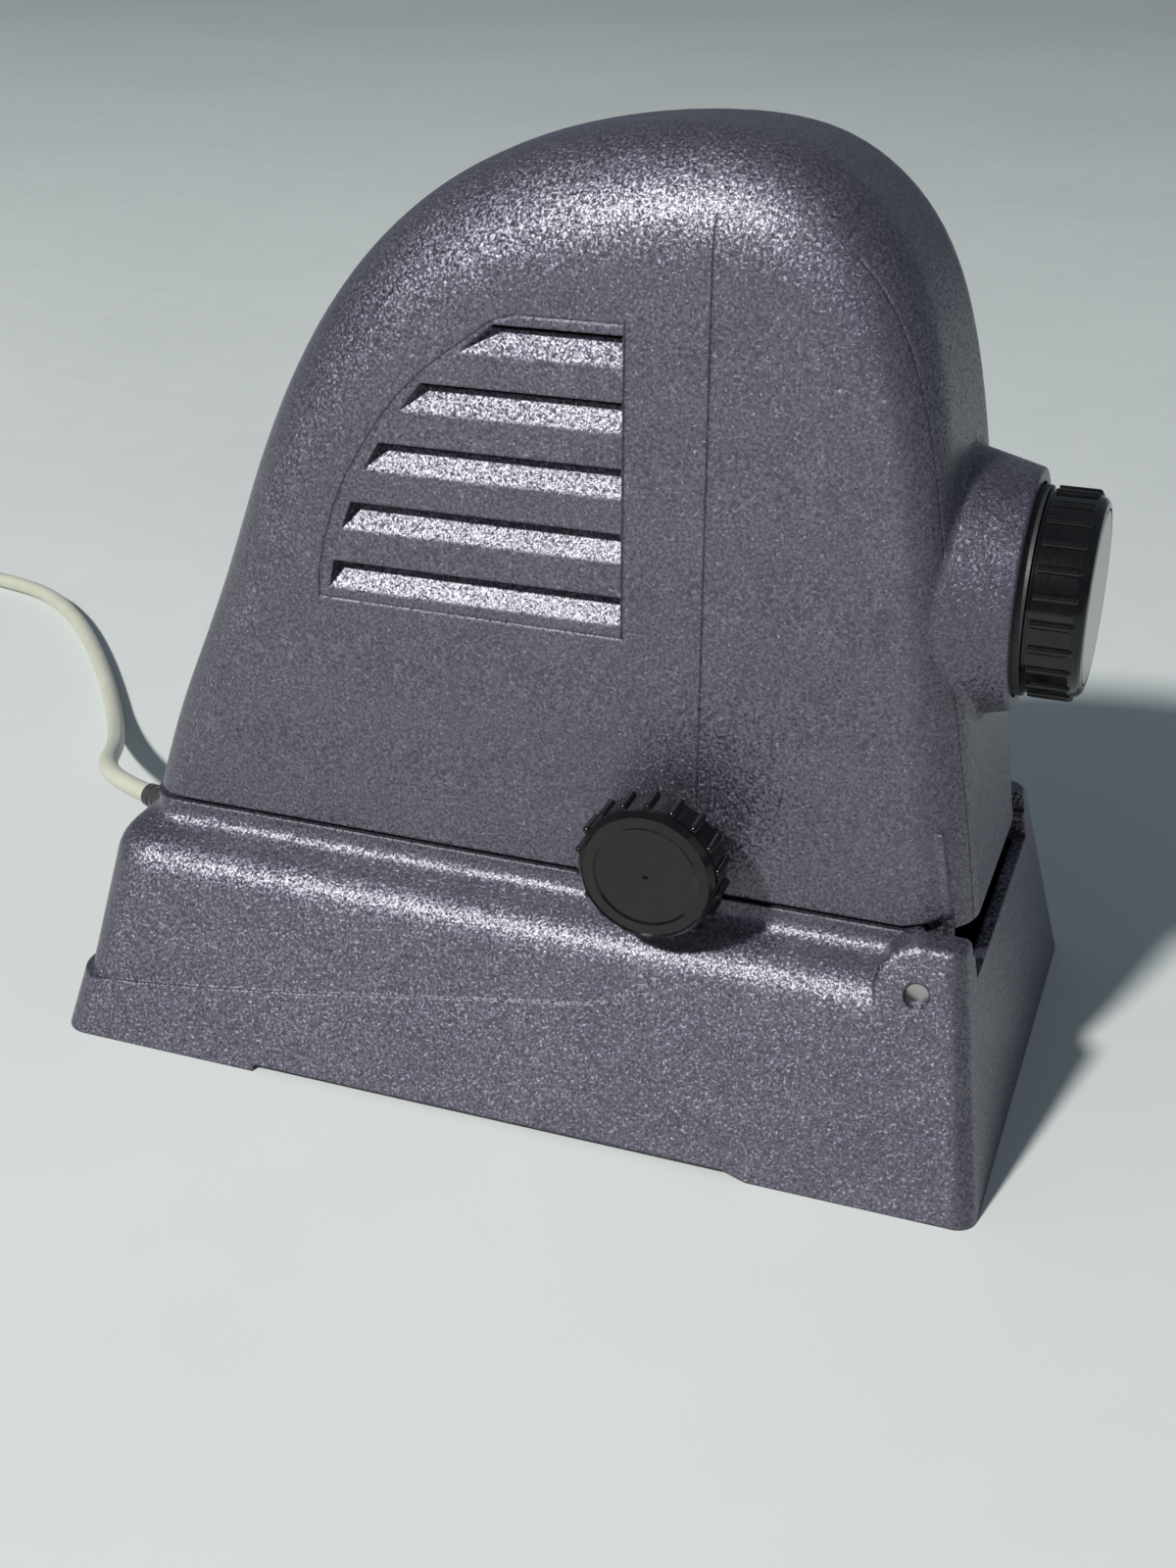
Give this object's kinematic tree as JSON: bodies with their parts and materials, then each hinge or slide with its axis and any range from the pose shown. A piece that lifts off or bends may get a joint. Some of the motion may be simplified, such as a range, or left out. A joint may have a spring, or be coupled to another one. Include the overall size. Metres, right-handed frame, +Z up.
{
  "type": "filmstrip projector",
  "caption": "Small cast-metal filmstrip projector with louvred lamp hood that tips forward, sliding lens, film advance knob, lamp, condenser, gate and cord.",
  "frame": {"origin": "on the table plane, under the middle of the projector's body without its cord", "axes": "+X towards the lens (forward), +Y to the projector's left, +Z up; the film knob is on the -Y side"},
  "size_m": [0.5247, 0.2546, 0.2209],
  "materials": {
    "hammered_paint": "grey-mauve hammer finish enamel, glossy",
    "bakelite": "black moulded phenolic, polished",
    "alu_satin": "turned aluminium, satin",
    "steel_plated": "zinc-plated sheet steel",
    "steel_dark": "black stove enamel, matt",
    "steel_pin": "drawn steel, polished",
    "brass": "turned brass",
    "spring_steel": "spring wire",
    "optic_glass": "polished optical glass",
    "heat_glass": "pale green heat-absorbing glass",
    "lamp_glass": "clear lamp glass",
    "lamp_cap_metal": "thin drawn aluminium",
    "tungsten": "tungsten wire",
    "porcelain": "glazed porcelain",
    "mirror_alu": "polished reflector",
    "rubber_black": "moulded rubber",
    "cord_cream": "cream rubber-covered flex",
    "plug_cream": "moulded cream plastic",
    "lead_cloth": "glass-fibre sleeved lead"
  },
  "bodies": {
    "base": {"base_casting": "hammered_paint", "hinge_pins": "steel_pin", "bottom_plate": "steel_dark", "bottom_plate_screws": "steel_plated", "chassis_plate": "steel_plated", "chassis_screws": "steel_plated", "film_gate_frame": "steel_dark", "gate_bridge": "steel_plated", "gate_bridge_posts": "brass", "gate_springs": "spring_steel", "gate_upright": "steel_plated", "bracket_screws": "steel_plated", "drive_bracket": "steel_plated", "drive_bushes": "brass", "roller_axle": "steel_pin", "film_supply_chamber": "steel_dark", "film_takeup_chamber": "steel_dark", "condenser_housing": "alu_satin", "condenser_rear_lens": "optic_glass", "condenser_front_lens": "optic_glass", "condenser_rings": "alu_satin", "heat_glass_holder": "steel_plated", "heat_filter_glass": "heat_glass", "lamp_bracket": "steel_plated", "lamp_socket": "porcelain", "lamp_cap": "lamp_cap_metal", "lamp_bulb": "lamp_glass", "lamp_stem": "lamp_glass", "lamp_filament": "tungsten", "reflector": "mirror_alu", "reflector_bracket": "steel_plated", "reflector_fasteners": "steel_plated", "terminal_block": "porcelain", "terminal_screws": "brass", "lamp_leads": "lead_cloth", "mains_lead_inner": "cord_cream", "cord_clamp": "bakelite", "cord_gland": "rubber_black", "mains_cord": "cord_cream", "cord_coil": "cord_cream", "coil_tie": "rubber_black", "mains_plug": "plug_cream", "plug_pins": "brass"},
    "hood": {"hood_casting": "hammered_paint", "hood_heat_shield": "mirror_alu", "heat_shield_rivets": "alu_satin", "lens_sleeve": "alu_satin"},
    "lens": {"lens_barrel": "steel_dark", "lens_front_element": "optic_glass", "lens_middle_element": "optic_glass", "lens_rear_element": "optic_glass", "lens_retaining_rings": "steel_dark"},
    "cap": {"lens_cap": "bakelite"},
    "film_drive": {"drive_shaft": "steel_pin", "film_sprocket": "alu_satin", "shaft_collar": "brass", "film_knob": "bakelite", "knob_grub_screw": "steel_pin"},
    "film_roller": {"pressure_roller": "bakelite"},
    "pressure_plate": {"gate_pressure_plate": "steel_pin"}
  },
  "joints": [
    {"name": "hood_tilt", "type": "hinge", "parent": "base", "child": "hood", "pos_m": [0.09495, 0, 0.0471], "axis": [0, 1, 0], "range_deg": [0, 50]},
    {"name": "lens_focus", "type": "slide", "parent": "hood", "child": "lens", "axis": [1, 0, 0], "range_m": [0, 0.012]},
    {"name": "lens_cap_pull", "type": "slide", "parent": "lens", "child": "cap", "axis": [1, 0, 0], "range_m": [0, 0.025]},
    {"name": "film_drive_turn", "type": "hinge", "parent": "base", "child": "film_drive", "pos_m": [0.03455, 0, 0.0688], "axis": [0, 1, 0], "continuous": true},
    {"name": "film_roller_turn", "type": "hinge", "parent": "base", "child": "film_roller", "pos_m": [0.02105, 0, 0.0676], "axis": [0, 1, 0], "continuous": true},
    {"name": "pressure_plate_lift", "type": "slide", "parent": "base", "child": "pressure_plate", "axis": [1, 0, 0], "range_m": [0, 0.0003], "stiffness_N_per_m": 400, "springref_m": -0.002}
  ],
  "couplings": [
    {"joint": "film_roller_turn", "follows": "film_drive_turn", "ratio": -2.25}
  ]
}
